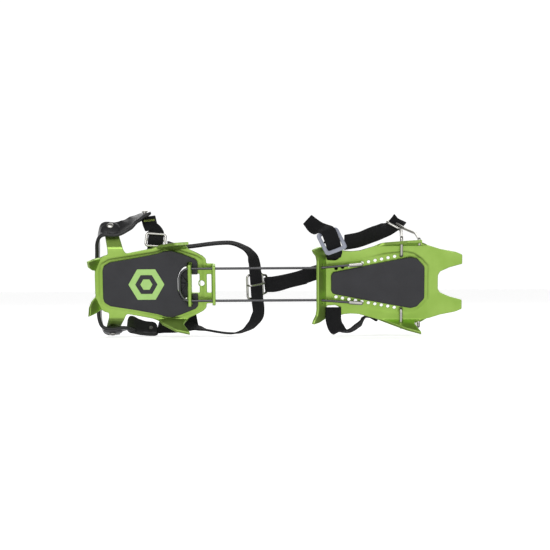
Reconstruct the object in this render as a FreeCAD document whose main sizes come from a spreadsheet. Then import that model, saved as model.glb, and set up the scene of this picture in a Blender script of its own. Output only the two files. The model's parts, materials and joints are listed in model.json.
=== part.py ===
import FreeCAD, Part
import math
import os
import Sketcher
from FreeCAD import Placement, Rotation, Vector

# One strap-on crampon. It is designed lying level: x runs to the toe, y to the wearer's left,
# z up to the boot, and z = 0 is the face that the boot stands on. The finished pieces are then
# stood on their side by one common placement, as the crampon stands on a floor.

DIMENSIONS = {
    "sheet_thickness": 3.0,
    "cleat_thickness": 2.5,
    "badge_thickness": 0.4,
    "point_splay": 21.0,
    "toe_splay": 18.0,
    "post_rise": 55.0,
    "post_bend_y": 35.5,
    "post_length": 30.0,
    "flange_height": 14.0,
    "flange_thickness": 3.4,
    "rod_diameter": 2.5,
    "rod_level": 8.0,
    "rod_half_gap": 16.5,
    "rod_hole_diameter": 2.7,
    "end_half_gap": 19.0,
    "end_diameter": 4.0,
    "end_length": 12.0,
    "hole_pitch": 6.5,
    "hole_diameter": 3.3,
    "hole_count": 11,
    "hole_row_start_y": 14.7,
    "hole_row_angle": 11.1,
    "neck_hole_diameter": 5.8,
    "bail_diameter": 2.8,
    "bail_hole_diameter": 4.2,
    "rivet_diameter": 4.0,
    "rivet_head": 7.0,
    "bush_diameter": 5.6,
    "post_clearance": 1.2,
    "webbing_width": 15.0,
    "webbing_thickness": 1.6,
    "cradle_width": 20.0,
    "cradle_thickness": 3.0,
    "slide_wire": 2.4,
    "buckle_wire": 2.6,
    "buckle_thickness": 2.6,
    "buckle_rim": 3.4,
    "stand_angle": -77.0,
    "stand_depth": -16.7,
    "stand_height": 54.5,
}

doc = FreeCAD.newDocument("crampon")
sheet = doc.addObject("Spreadsheet::Sheet", "Dims")
for row, (alias, value) in enumerate(DIMENSIONS.items(), start=1):
    sheet.set("A%d" % row, alias)
    sheet.set("B%d" % row, str(value))
    sheet.setAlias("B%d" % row, alias)
doc.recompute()


def dim(alias):
    return float(sheet.get(alias))


SHEET = dim("sheet_thickness")
ROD_Z = -dim("rod_level")
STAND = Placement(
    Vector(0, dim("stand_depth"), dim("stand_height")),
    Rotation(Vector(1, 0, 0), dim("stand_angle")),
)
SIDES = {"left": 1, "right": -1}

pieces = []


def finish(obj, label):
    """Name a sub-part and stand it on its side with the others."""
    obj.Label = label
    obj.Placement = STAND
    pieces.append(obj)
    return obj


def feature(label, shape):
    obj = doc.addObject("Part::Feature", label)
    obj.Shape = shape
    return finish(obj, label)


# ---------------------------------------------------------------- sketches, pads and pockets


def new_body(label):
    return doc.addObject("PartDesign::Body", label)


def new_sketch(body, name, offset=None):
    sketch = body.newObject("Sketcher::SketchObject", name)
    plane = next(f for f in body.Origin.OriginFeatures if f.Role == "XY_Plane")
    sketch.AttachmentSupport = [(plane, "")]
    sketch.MapMode = "FlatFace"
    sketch.AttachmentOffset = offset or Placement()
    return sketch


def add_loop(sketch, points):
    """Draw a closed outline of straight lines."""
    first = sketch.GeometryCount
    count = len(points)
    for i, (x, y) in enumerate(points):
        x2, y2 = points[(i + 1) % count]
        sketch.addGeometry(Part.LineSegment(Vector(x, y, 0), Vector(x2, y2, 0)), False)
    for i in range(count):
        following = first + (i + 1) % count
        sketch.addConstraint(Sketcher.Constraint("Coincident", first + i, 2, following, 1))


def add_circle(sketch, x, y, alias):
    """Draw a circle whose diameter is a cell of the sheet."""
    circle = Part.Circle(Vector(x, y, 0), Vector(0, 0, 1), dim(alias) / 2)
    index = sketch.addGeometry(circle, False)
    constraint = sketch.addConstraint(Sketcher.Constraint("Diameter", index, dim(alias)))
    sketch.setExpression("Constraints[%d]" % constraint, "Dims." + alias)


def pad(body, sketch, alias, downwards=False, symmetric=False):
    item = body.newObject("PartDesign::Pad", sketch.Name + "_pad")
    item.Profile = sketch
    item.Reversed = downwards
    item.SideType = "Symmetric" if symmetric else "One side"
    item.setExpression("Length", "Dims." + alias)
    sketch.Visibility = False
    return item


def pocket(body, sketch):
    """Cut a sketch through everything, to both sides."""
    item = body.newObject("PartDesign::Pocket", sketch.Name + "_pocket")
    item.Profile = sketch
    item.SideType = "Two sides"
    item.Type = "ThroughAll"
    item.Type2 = "ThroughAll"
    return item


def both_sides(half):
    """Close an outline from its left half, which runs from the toe end to the heel end."""
    return half + [(x, -y) for x, y in reversed(half)]


def mirrored(points, side):
    return [(x, side * y) for x, y in points]


def slope(origin, along, down):
    """A sketch plane with x along a bend line and y down the flange that leaves it."""
    return Placement(origin, Rotation(along, down, along.cross(down), "XYZ"))


def splayed(side, bend_y, alias):
    """The plane of a side flange, which leans outwards as it goes down to the ground."""
    lean = math.radians(dim(alias))
    down = Vector(0, side * math.sin(lean), -math.cos(lean))
    return slope(Vector(0, side * bend_y, -SHEET / 2), Vector(1, 0, 0), down)


# ------------------------------------------------------------------------- rods and bands


def bent_path(points, radius):
    """Straight runs joined by arcs; the radius shrinks where a run is short."""
    corners = [Vector(*p) for p in points]
    edges = []
    start = corners[0]
    for before, corner, after in zip(corners, corners[1:], corners[2:]):
        back = (before - corner).normalize()
        ahead = (after - corner).normalize()
        half_turn = (math.pi - back.getAngle(ahead)) / 2
        room = 0.45 * min((before - corner).Length, (after - corner).Length)
        reach = min(radius * math.tan(half_turn), room)
        arc_radius = reach / math.tan(half_turn)
        middle = (back + ahead).normalize()
        centre = corner + middle * (arc_radius / math.cos(half_turn))
        first, last = corner + back * reach, corner + ahead * reach
        edges.append(Part.LineSegment(start, first).toShape())
        edges.append(Part.Arc(first, centre - middle * arc_radius, last).toShape())
        start = last
    edges.append(Part.LineSegment(start, corners[-1]).toShape())
    return Part.Wire(edges)


def rod(points, radius, diameter):
    """A round wire bent along the points."""
    path = bent_path(points, radius)
    begin = Vector(*points[0])
    heading = Vector(*points[1]) - begin
    ring = Part.Wire([Part.Circle(begin, heading, diameter / 2).toShape()])
    return path.makePipeShell([ring], True, True)


def closed_rod(points, radius, diameter):
    """A round wire welded into a closed ring; it starts in the middle of its first side."""
    middle = (Vector(*points[0]) + Vector(*points[1])) * 0.5
    tour = [middle] + [Vector(*p) for p in points[1:]] + [Vector(*points[0]), middle]
    return rod([tuple(p) for p in tour], radius, diameter)


def band(stations, width, thickness):
    """A flat strap through stations, each a place and the direction of its width."""
    places = [Vector(*place) for place, _ in stations]
    sections = []
    for i, (_, across) in enumerate(stations):
        ahead = places[min(i + 1, len(places) - 1)] - places[max(i - 1, 0)]
        ahead.normalize()
        side = Vector(*across)
        side = (side - ahead * side.dot(ahead)).normalize() * (width / 2)
        rise = ahead.cross(side).normalize() * (thickness / 2)
        corners = [side + rise, side - rise, -side - rise, -side + rise]
        loop = [places[i] + corner for corner in corners]
        sections.append(Part.makePolygon(loop + [loop[0]]))
    return Part.makeLoft(sections, True, True)


def webbing(label, stations):
    return feature(label, band(stations, dim("webbing_width"), dim("webbing_thickness")))


def rivet(label, place, axis, length):
    """A round shank with a low head at its outer end."""
    axis = Vector(*axis).normalize()
    inner = Vector(*place) - axis * (length / 2)
    outer = Vector(*place) + axis * (length / 2)
    shank = Part.makeCylinder(dim("rivet_diameter") / 2, length, inner, axis)
    head = Part.makeCone(dim("rivet_head") / 2, dim("rivet_diameter") / 2, 1.4, outer, axis)
    return feature(label, shank.fuse(head).removeSplitter())


# --------------------------------------------------------------------------- rear half

HEEL_REAR_X = -180.8
HEEL_NECK_X = -59.2
REAR_FLANGE_X = -86.8
NECK_FLANGE_X = -62.6
NECK_HALF = 20.3
POST_ROOT = (-166.6, -149.9)
POST_TIP = (-171.5, -158.0)
HEEL_POINT_BEND_Y = 38.0
HEEL_CORNER = ((-180.8, 13.5), (-175.0, 26.7))

heel_half = [
    (HEEL_NECK_X, NECK_HALF),
    (-68.5, NECK_HALF),
    (-69.0, 25.0),
    (-72.0, 28.1),
    (-78.0, 31.4),
    (-87.0, 35.5),
    (-88.0, HEEL_POINT_BEND_Y),
    (-116.0, HEEL_POINT_BEND_Y),
    (-125.0, 35.6),
    (-138.0, 33.0),
    (POST_ROOT[1], 30.8),
    (POST_ROOT[1] - 1.5, dim("post_bend_y")),
    (POST_ROOT[0] - 0.5, dim("post_bend_y")),
    (POST_ROOT[0], 29.5),
    (-171.0, 28.6),
    HEEL_CORNER[1],
    HEEL_CORNER[0],
]
heel_point = [(-116.3, -1), (-115, 6.6), (-99, 21), (-84.5, 25.5), (-92, 9), (-89.5, 3), (-88, -1)]
rear_point = [(0.4, -1), (1.5, 8), (4.5, 17), (11.5, 26), (13.5, 13), (14.2, -1)]
lance_window = [(-83.2, -9.8), (-75.5, -9.8), (-75.5, 9.8), (-83.2, 9.8)]
neck_window = [(-68.2, -9.6), (-62.8, -9.6), (-62.8, 9.6), (-68.2, 9.6)]
bend_window = [
    (-88.0, -18.0), (-91.5, -17.0), (-95.0, -12.0), (-97.0, -6.0),
    (-97.0, 6.0), (-95.0, 12.0), (-91.5, 17.0), (-88.0, 18.0),
]


def rod_flange(body, name, x, half_width):
    """An upright tab across the frame, with a hole for each rod of the link."""
    across, down = Vector(0, 1, 0), Vector(0, 0, -1)
    plane = slope(Vector(x, 0, 0), across, down)
    sketch = new_sketch(body, name, plane)
    add_loop(sketch, both_sides_across(half_width, dim("flange_height"), 2.0))
    for side in SIDES.values():
        add_circle(sketch, side * dim("rod_half_gap"), dim("rod_level"), "rod_hole_diameter")
    pad(body, sketch, "flange_thickness", downwards=True)


def both_sides_across(half_width, height, corner):
    """A tab's outline, with its two free corners cut."""
    return [
        (-half_width, 0.5), (half_width, 0.5), (half_width, height - corner),
        (half_width - corner, height), (corner - half_width, height),
        (-half_width, height - corner),
    ]


def rear_point_plane(side):
    """The plane of a rear point, bent down along the frame's cut corner."""
    (x1, y1), (x2, y2) = HEEL_CORNER
    along = Vector(x2 - x1, side * (y2 - y1), 0).normalize()
    outward = Vector(-(y2 - y1), side * (x2 - x1), 0).normalize()
    lean = math.radians(dim("point_splay"))
    down = outward * math.sin(lean) + Vector(0, 0, -math.cos(lean))
    return slope(Vector(x1, side * y1, -SHEET / 2), along, down)


def post_plane(side):
    rise = math.radians(dim("post_rise"))
    up = Vector(0, side * math.cos(rise), math.sin(rise))
    return slope(Vector(0, side * dim("post_bend_y"), -SHEET / 2), Vector(1, 0, 0), up)


RIVET_RUN = 22.5
RIVET_X = -165.0
RIVET_LENGTH = 11.8
RIVET_TAIL = 2.0
BUSH_LENGTH = 8.6
STRAP_RIVET_LENGTH = 5.4


def post_point(side, run, offset=0.0, x=RIVET_X):
    """A place on a post, at a distance up from its bend and out from its middle plane."""
    rise = math.radians(dim("post_rise"))
    y = dim("post_bend_y") + run * math.cos(rise) + offset * math.sin(rise)
    z = -SHEET / 2 + run * math.sin(rise) - offset * math.cos(rise)
    return (x, side * y, z)


def make_heel_frame():
    body = new_body("heel_frame")
    base = new_sketch(body, "heel_base")
    add_loop(base, both_sides(heel_half))
    pad(body, base, "sheet_thickness", downwards=True)
    post = dim("post_length")
    post_outline = [
        (POST_ROOT[0] - 0.5, -1), (POST_ROOT[1] - 1.5, -1),
        (POST_TIP[1], post - 5), (POST_TIP[1] - 4, post),
        (POST_TIP[0] + 4, post), (POST_TIP[0], post - 5),
    ]
    for name, side in SIDES.items():
        plane = splayed(side, HEEL_POINT_BEND_Y - 1, "point_splay")
        front = new_sketch(body, "heel_point_" + name, plane)
        add_loop(front, heel_point)
        pad(body, front, "sheet_thickness", symmetric=True)
        rear = new_sketch(body, "rear_point_" + name, rear_point_plane(side))
        add_loop(rear, rear_point)
        pad(body, rear, "sheet_thickness", symmetric=True)
        upright = new_sketch(body, "post_" + name, post_plane(side))
        add_loop(upright, post_outline)
        pad(body, upright, "sheet_thickness", symmetric=True)
    rod_flange(body, "rear_flange", REAR_FLANGE_X, NECK_HALF + 1.2)
    rod_flange(body, "neck_flange", NECK_FLANGE_X, NECK_HALF)
    windows = new_sketch(body, "heel_windows")
    add_loop(windows, lance_window)
    add_loop(windows, neck_window)
    add_loop(windows, bend_window)
    add_circle(windows, -73.4, 0, "neck_hole_diameter")
    pocket(body, windows)
    bores = new_sketch(body, "post_bores", slope(Vector(), Vector(1, 0, 0), Vector(0, 0, 1)))
    add_circle(bores, RIVET_X, post_point(1, RIVET_RUN)[2], "rivet_diameter")
    pocket(body, bores)
    finish(body, "heel_frame")


heel_cleat_half = [
    (-77.2, 22.6), (-80.0, 25.6), (-95.0, 31.7), (-103.0, 34.3), (-110.0, 33.7),
    (-117.5, 30.9), (-140.0, 26.5), (-165.0, 22.4), (-171.0, 18.6), (-172.2, 16.0),
]
flange_slot = [
    (-87.2, -22.2), (-83.0, -22.2), (-83.0, -9.8), (-76.5, -9.8),
    (-76.5, 9.8), (-83.0, 9.8), (-83.0, 22.2), (-87.2, 22.2),
]


def make_cleat_plate(label, half, cuts):
    """A moulded plate under the sheet, which keeps snow from balling up."""
    body = new_body(label)
    level = Placement(Vector(0, 0, -SHEET), Rotation())
    outline = new_sketch(body, label + "_outline", level)
    add_loop(outline, both_sides(half))
    pad(body, outline, "cleat_thickness", downwards=True)
    if cuts:
        openings = new_sketch(body, label + "_openings", level)
        for loop in cuts:
            add_loop(openings, loop)
        pocket(body, openings)
    finish(body, label)


def polygon(x, y, radius, corners=6):
    turn = 2 * math.pi / corners
    return [
        (x + radius * math.cos(turn * i), y + radius * math.sin(turn * i)) for i in range(corners)
    ]


def make_badge():
    """A plain ring of six sides and a small six-sided dot inlaid in the rear plate."""
    body = new_body("heel_badge")
    level = Placement(Vector(0, 0, -SHEET - dim("cleat_thickness")), Rotation())
    ring = new_sketch(body, "badge_ring", level)
    add_loop(ring, polygon(-128.5, 0, 18.0))
    add_loop(ring, polygon(-128.5, 0, 12.0))
    pad(body, ring, "badge_thickness", downwards=True)
    finish(body, "heel_badge")


# ------------------------------------------------------------------------------- link

END_X = 74.0
BEND_X = -95.2
ARC_Z = -5.2


def make_link():
    """One hairpin of spring wire: an arc behind the rear flange and two rods to the front."""
    gap, end_gap = dim("rod_half_gap"), dim("end_half_gap")
    knee, crown = -89.8, 9.0
    path = [
        (END_X, end_gap, ROD_Z), (44.0, gap, ROD_Z), (knee, gap, ROD_Z),
        (BEND_X, crown, ARC_Z), (BEND_X, -crown, ARC_Z),
        (knee, -gap, ROD_Z), (44.0, -gap, ROD_Z), (END_X, -end_gap, ROD_Z),
    ]
    feature("link_wire", rod(path, 9.0, dim("rod_diameter")))
    for name, side in SIDES.items():
        heading = Vector(30.0, side * (end_gap - gap), 0).normalize()
        start = Vector(END_X, side * end_gap, ROD_Z)
        sleeve = Part.makeCylinder(dim("end_diameter") / 2, dim("end_length"), start, heading)
        tip = Part.makeSphere(dim("end_diameter") / 2, start + heading * dim("end_length"))
        feature("link_end_" + name, sleeve.fuse(tip).removeSplitter())


# --------------------------------------------------------------------------- front half

FRONT_REAR_X = 50.0
PRONG_X = 187.0
SIDE_BEND_Y = 40.0
WALL_LEAN = 31.0
ROD_SLOT_Y = (14.9, 20.6)
HOLE_ROW_X = 61.0
BAIL_HOLE = (126.0, 5.5)
HOLE_ROW_SLANT = math.tan(math.radians(dim("hole_row_angle")))

front_half = [
    (PRONG_X, 27.8), (180.8, 30.5), (165.0, 33.6), (145.0, 39.1), (137.0, SIDE_BEND_Y),
    (109.0, SIDE_BEND_Y), (98.7, 36.8), (84.0, 32.5), (75.5, 31.9), (69.0, 32.5),
    (58.0, 35.3), (FRONT_REAR_X, 36.8),
]
prong_gap = [(PRONG_X, 18.6), (173.9, 14.9), (165.0, 10.8), (162.9, 7.0)]
side_point = [
    (106.0, -1), (108.0, 2), (120.0, 10.0), (131.0, 18.0), (145.0, 25.6),
    (139.5, 9.0), (138.8, 4.0), (146.0, 3.4), (160.0, 1.5), (164.0, -1),
]
strap_slot = [(51.5, 23.5), (60.0, 23.0), (64.5, 25.0), (62.0, 29.5), (52.5, 31.0)]
rear_wall = [
    (37.5, -1), (38.5, 13), (38.0, 25), (34.0, 22), (30.0, 17), (25.0, 15.2),
]


def make_front_frame():
    body = new_body("front_frame")
    base = new_sketch(body, "front_base")
    outline = front_half + [(x, -y) for x, y in reversed(front_half)]
    outline += [(x, -y) for x, y in prong_gap] + list(reversed(prong_gap))
    add_loop(base, outline)
    pad(body, base, "sheet_thickness", downwards=True)
    for name, side in SIDES.items():
        flank = new_sketch(body, "side_point_" + name, splayed(side, SIDE_BEND_Y - 1, "toe_splay"))
        add_loop(flank, side_point)
        add_circle(flank, *BAIL_HOLE, "bail_hole_diameter")
        pad(body, flank, "sheet_thickness", symmetric=True)
    lean = math.radians(WALL_LEAN)
    down = Vector(-math.sin(lean), 0, -math.cos(lean))
    plane = slope(Vector(FRONT_REAR_X, 0, -SHEET / 2), Vector(0, 1, 0), down)
    wall = new_sketch(body, "rear_wall", plane)
    add_loop(wall, rear_wall + [(-y, w) for y, w in reversed(rear_wall)])
    pad(body, wall, "sheet_thickness", symmetric=True)
    across_plane = slope(Vector(), Vector(0, 1, 0), Vector(0, 0, -1))
    rod_slots = new_sketch(body, "rod_slots", across_plane)
    half_slot = dim("rod_hole_diameter") / 2 + 0.1
    top, bottom = dim("rod_level") - half_slot, dim("rod_level") + half_slot
    for side in SIDES.values():
        inner, outer = side * ROD_SLOT_Y[0], side * ROD_SLOT_Y[1]
        add_loop(rod_slots, [(inner, top), (outer, top), (outer, bottom), (inner, bottom)])
    pocket(body, rod_slots)
    holes = new_sketch(body, "adjusting_holes")
    for side in SIDES.values():
        add_loop(holes, mirrored(strap_slot, side))
        for i in range(int(dim("hole_count"))):
            run = i * dim("hole_pitch")
            y = dim("hole_row_start_y") + run * HOLE_ROW_SLANT
            add_circle(holes, HOLE_ROW_X + run, side * y, "hole_diameter")
    pocket(body, holes)
    finish(body, "front_frame")


front_cleat_half = [
    (149.3, 16.2), (141.8, 24.6), (135.5, 26.2), (114.5, 22.2), (58.0, 11.1), (56.0, 8.5),
]


def make_toe_bail(name, side):
    """A stainless wire bail: its tail goes through the side flange and ends in the last hole."""
    tail_x = HOLE_ROW_X + (dim("hole_count") - 1) * dim("hole_pitch")
    tail_y = dim("hole_row_start_y") + (tail_x - HOLE_ROW_X) * HOLE_ROW_SLANT
    points = [
        (tail_x, tail_y, -0.4), (tail_x, tail_y, -6.6), (tail_x, 46.5, -6.6), (127.8, 46.0, 30.0),
        (128.0, 44.2, 43.0), (113.5, 50.5, 52.0), (119.0, 50.5, 60.0), (132.0, 45.5, 42.0),
        (141.5, 45.0, 22.0), (143.5, 45.0, -7.6), (143.5, 39.0, -8.2),
    ]
    bent = rod([(x, side * y, z) for x, y, z in points], 4.0, dim("bail_diameter"))
    feature("toe_bail_" + name, bent)


# ------------------------------------------------------------------------------ harness

EDGE_ON = (0, 0, 1)


def face_outwards(side):
    """The turn that lays a box's top face on the outer face of a post."""
    rise = math.radians(dim("post_rise"))
    up = Vector(0, side * math.cos(rise), math.sin(rise))
    out = Vector(0, side * math.sin(rise), -math.cos(rise))
    return Rotation(up.cross(out), up, out, "XYZ")


def make_cradle():
    """A moulded band round the boot's heel, open to the front, held by a rivet on each post."""
    thickness = dim("cradle_thickness")
    clear = SHEET / 2 + dim("post_clearance") + thickness / 2
    rise = math.radians(dim("post_rise"))
    up_post = (0, math.cos(rise), math.sin(rise))
    stations = [
        ((-123.0, 56.0, 33.5), (0, -0.40, 0.91)),
        ((-140.0, 54.6, 28.0), (0, -0.30, 0.94)),
        ((-150.0, 53.2, 21.5), (0, 0.20, 0.98)),
        (post_point(1, RIVET_RUN, clear, -156.5), up_post),
        (post_point(1, RIVET_RUN, clear, -172.0), up_post),
        ((-177.0, 43.0, 18.5), (0, 0.35, 0.94)),
        ((-178.0, 30.0, 22.0), (0, 0, 1)),
        ((-178.5, 12.0, 22.5), (0, 0, 1)),
        ((-178.5, -12.0, 22.5), (0, 0, 1)),
        ((-178.0, -30.0, 22.0), (0, 0, 1)),
        ((-177.0, -43.0, 18.5), (0, -0.35, 0.94)),
        (post_point(-1, RIVET_RUN, clear, -172.0), (0, -up_post[1], up_post[2])),
        (post_point(-1, RIVET_RUN, clear, -156.5), (0, -up_post[1], up_post[2])),
        ((-151.0, -54.0, 21.5), (0, -0.35, 0.94)),
        ((-143.0, -58.0, 29.0), (0, -0.15, 0.99)),
        ((-127.0, -64.4, 33.5), (0, 0.05, 1)),
    ]
    shape = band(stations, dim("cradle_width"), thickness)
    for name, side in SIDES.items():
        centre = Vector(*post_point(side, RIVET_RUN))
        outward = Vector(0, side, 0)
        bush_radius = dim("bush_diameter") / 2
        shape = shape.cut(Part.makeCylinder(bush_radius + 0.05, RIVET_LENGTH + 2, centre, outward))
        bush = Part.makeCylinder(bush_radius, BUSH_LENGTH, centre, outward)
        bush = bush.cut(Part.makeCylinder(dim("rivet_diameter") / 2, BUSH_LENGTH, centre, outward))
        post_length, post_width = dim("post_length"), POST_ROOT[1] - POST_ROOT[0] + 10
        corner = Vector(-post_width / 2, -post_length / 2, SHEET / 2 - post_length)
        post = Part.makeBox(post_width, post_length, post_length, corner)
        post.Placement = Placement(centre, face_outwards(side))
        feature("cradle_bush_" + name, bush.cut(post))
        middle = centre + outward * (RIVET_LENGTH / 2 - RIVET_TAIL)
        rivet("cradle_rivet_" + name, tuple(middle), outward, RIVET_LENGTH)
    feature("heel_cradle", shape)
    rivet("strap_rivet_right", (-130.5, -64.1, 33.0), (-0.15, -1, 0), STRAP_RIVET_LENGTH)
    rivet("strap_rivet_left", (-126.5, 57.8, 32.0), (-0.15, 1, 0.4), STRAP_RIVET_LENGTH)


def make_ankle_strap():
    """One long webbing, in the stretches that bend when the cradle turns and the one that stays."""
    webbing("heel_strap_right", [
        ((-128.0, -61.2, 34.0), (1, 0, 0.1)),
        ((-125.5, -54.0, 26.0), (1, 0.1, 0.1)),
        ((-123.3, -50.0, 20.5), (1, 0.2, 0)),
    ])
    webbing("ankle_strap_right", [
        ((-107.5, -39.5, 9.5), (0.1, 0.1, 0.97)),
        ((-100.0, -36.5, 10.0), EDGE_ON),
        ((-90.0, -34.8, 11.0), EDGE_ON),
    ])
    webbing("ankle_strap_front", [
        ((-89.7, -34.8, 11.0), EDGE_ON),
        ((-65.0, -37.4, 12.0), EDGE_ON),
        ((-53.0, -38.4, 12.0), EDGE_ON),
        ((-43.0, -38.1, 12.0), (0.1, 0, 1)),
        ((-33.0, -34.4, 12.0), (0.2, 0, 1)),
        ((-25.5, -28.7, 12.0), (0.4, 0, 0.9)),
        ((-21.5, -20.6, 12.0), (0.7, 0, 0.7)),
        ((-20.0, -11.0, 12.0), (0.77, 0, 0.64)),
        ((-17.8, 22.0, 12.0), (0.77, 0, 0.64)),
        ((-16.8, 31.0, 12.0), (0.77, 0, 0.64)),
        ((-18.2, 38.0, 12.0), (0.85, 0.1, 0.5)),
        ((-24.0, 46.8, 12.0), (0.6, 0.3, 0.7)),
        ((-34.0, 53.6, 12.0), (0.2, 0.3, 0.9)),
        ((-46.0, 55.4, 12.0), (0, 0.2, 0.98)),
        ((-69.0, 51.8, 11.0), (0, 0.35, 0.94)),
        ((-78.0, 49.2, 11.0), (0, 0.6, 0.8)),
    ])
    webbing("ankle_strap_left", [
        ((-78.3, 49.2, 11.0), (0, 0.6, 0.8)),
        ((-88.0, 46.5, 13.0), (0, 0.8, 0.6)),
        ((-104.0, 49.0, 17.0), (0, 0.7, 0.7)),
        ((-119.0, 53.6, 24.5), (0, 0.5, 0.85)),
    ])


class Frame:
    """A flat wire fitting's own axes: across its webbing, up along it, and out of its face."""

    def __init__(self, centre, across, up):
        self.centre = Vector(*centre)
        self.across = Vector(*across).normalize()
        up = Vector(*up)
        self.up = (up - self.across * up.dot(self.across)).normalize()
        self.out = self.across.cross(self.up)

    def place(self, across, up, out=0.0):
        return tuple(self.centre + self.across * across + self.up * up + self.out * out)

    def plane(self):
        return Placement(self.centre, Rotation(self.across, self.up, self.out, "XYZ"))


SLIDE = Frame((-18.8, 6.5, 12.0), (0.766, 0.0, 0.643), (0.06, 1.0, 0.0))
HEEL_BUCKLE = Frame((-119.5, -41.5, 12.5), (1.0, 0.08, 0.0), (-0.25, -0.8, 0.55))
TOE_BUCKLE = Frame((56.5, -43.2, -6.4), (16.0, -4.5, 7.0), (-9.5, -16.6, 10.0))


def make_strap_slide():
    """A welded wire slide: the ankle webbing runs through it and the instep webbing is sewn on."""
    wire = dim("slide_wire")
    gap = dim("webbing_thickness") / 2 + 0.4 + wire / 2
    half, tall, ear = 9.8, 12.0, 15.5
    place = SLIDE.place
    corners = [(-half, -tall), (-half, tall), (half, tall), (half, -tall)]
    loop = closed_rod([place(x, y, gap) for x, y in corners], 3.0, wire)
    bar_ends = [(-half, gap), (-half, -gap), (half, -gap), (half, gap)]
    bar = rod([place(x, -2.0, z) for x, z in bar_ends], 1.5, wire)
    ear_ends = [(half, -10.0), (ear, -8.8), (ear, 8.8), (half, 10.0)]
    side_loop = rod([place(x, y, gap) for x, y in ear_ends], 2.5, wire)
    feature("instep_slide", loop.fuse([bar, side_loop]).removeSplitter())


def make_heel_buckle():
    """A small wire buckle that hangs from the right strap: a frame and its cross bar."""
    wire = dim("buckle_wire")
    half, tall = 9.6, 6.6
    corners = [(-half, -tall), (-half, tall), (half, tall), (half, -tall)]
    place = HEEL_BUCKLE.place
    feature("heel_buckle_frame", closed_rod([place(x, y) for x, y in corners], 2.5, wire))
    reach = half - wire / 2
    start, end = Vector(*place(-reach, 0)), Vector(*place(reach, 0))
    bar = Part.makeCylinder(wire / 2 - 0.2, (end - start).Length, start, end - start)
    feature("heel_buckle_bar", bar)


def rounded(half, tall, cut):
    """A rectangle with cut corners, about its own centre."""
    return [
        (half, cut - tall), (half, tall - cut), (half - cut, tall), (cut - half, tall),
        (-half, tall - cut), (-half, cut - tall), (cut - half, -tall), (half - cut, -tall),
    ]


def make_toe_buckle():
    """The toe harness's buckle: a flat frame with a loose bar across it."""
    rim, thickness = dim("buckle_rim"), dim("buckle_thickness")
    half, tall = 12.2, 12.6
    body = new_body("toe_buckle_frame")
    face = TOE_BUCKLE.plane()
    ring = new_sketch(body, "toe_buckle_ring", face)
    add_loop(ring, rounded(half, tall, 3.6))
    add_loop(ring, rounded(half - rim, tall - rim, 2.0))
    pad(body, ring, "buckle_thickness", symmetric=True)
    finish(body, "toe_buckle_frame")
    start = Vector(*TOE_BUCKLE.place(rim - half, 1.5))
    end = Vector(*TOE_BUCKLE.place(half - rim, 1.5))
    bar = Part.makeCylinder(thickness / 2 - 0.2, (end - start).Length, start, end - start)
    feature("toe_buckle_bar", bar)


def make_instep_strap():
    webbing("instep_strap", [
        ((-3.5, 8.0, 21.5), (0.1, 1, 0)),
        ((13.0, 1.6, 13.5), (0.3, 1, 0)),
        ((25.0, -2.7, 9.0), (0.35, 1, 0)),
        ((39.0, -8.4, 4.4), (0.35, 1, 0)),
        ((55.0, -13.0, 1.6), (0.2, 1, 0)),
        ((72.0, -14.5, 1.2), (0.0, 1, 0)),
    ])


def make_toe_straps():
    webbing("toe_strap_left", [
        ((58.3, 24.8, -4.4), (1, 0, 0)),
        ((58.3, 30.7, -4.6), (1, 0, 0)),
        ((58.6, 39.0, -4.4), (1, 0.05, 0)),
        ((62.0, 47.6, -1.5), (0.9, -0.4, 0.1)),
        ((69.5, 51.5, 3.0), (0.4, 0.3, 0.9)),
        ((79.0, 50.4, 9.0), (0.1, 0.3, 1)),
        ((87.0, 45.6, 14.5), (-0.2, 0.1, 1)),
        ((92.5, 40.8, 22.0), (-0.6, 0.1, 0.9)),
        ((101.0, 42.0, 36.0), (-0.7, 0.6, 0.4)),
        ((108.5, 46.0, 43.0), (-0.5, 0.8, 0.2)),
    ])
    webbing("toe_strap_right", [
        ((125.0, -53.2, 48.8), (0.8, 0.35, -0.5)),
        ((120.0, -48.8, 44.6), (0.8, 0.35, -0.5)),
        ((109.0, -44.6, 36.0), (0.6, 0.75, -0.3)),
        ((96.0, -42.2, 25.0), (0.25, 0.96, -0.1)),
        ((84.0, -40.4, 13.0), (0.1, 0.99, 0)),
        ((69.5, -40.2, 1.9), (0.1, 0.99, 0.1)),
    ])
    webbing("toe_strap_tail", [
        (TOE_BUCKLE.place(0, -8.0, -2.6), TOE_BUCKLE.across),
        (TOE_BUCKLE.place(0, -3.2, 0.4), TOE_BUCKLE.across),
        (TOE_BUCKLE.place(0, 1.5, 2.5), TOE_BUCKLE.across),
        (TOE_BUCKLE.place(0, 12.0, 2.9), TOE_BUCKLE.across),
        ((39.0, -56.0, 8.5), (9.0, -8.0, 10.0)),
        ((32.0, -63.0, 10.0), (9.0, -8.0, 10.0)),
    ])
    webbing("toe_buckle_anchor", [
        ((58.3, -24.0, -4.5), (1, 0, 0)),
        ((58.5, -28.0, -4.6), (1, 0, 0)),
    ])


for build in (make_heel_frame, make_badge, make_link, make_front_frame, make_cradle):
    build()
make_cleat_plate("heel_anti_ball_plate", heel_cleat_half, [flange_slot, bend_window])
make_cleat_plate("front_anti_ball_plate", front_cleat_half, [])
for bail_name, bail_side in SIDES.items():
    make_toe_bail(bail_name, bail_side)
for build in (make_ankle_strap, make_strap_slide, make_heel_buckle, make_instep_strap):
    build()
for build in (make_toe_straps, make_toe_buckle):
    build()

doc.recompute()

# ------------------------------------------------------------------------ checks and files

failed = [obj.Name for obj in doc.Objects if {"Invalid", "Error"} & set(obj.State)]
if failed:
    raise RuntimeError("these objects did not build: " + ", ".join(failed))
for piece in pieces:
    if piece.Shape.isNull() or not piece.Shape.isValid() or piece.Shape.Volume <= 0:
        raise RuntimeError("not a valid solid: " + piece.Label)

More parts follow.
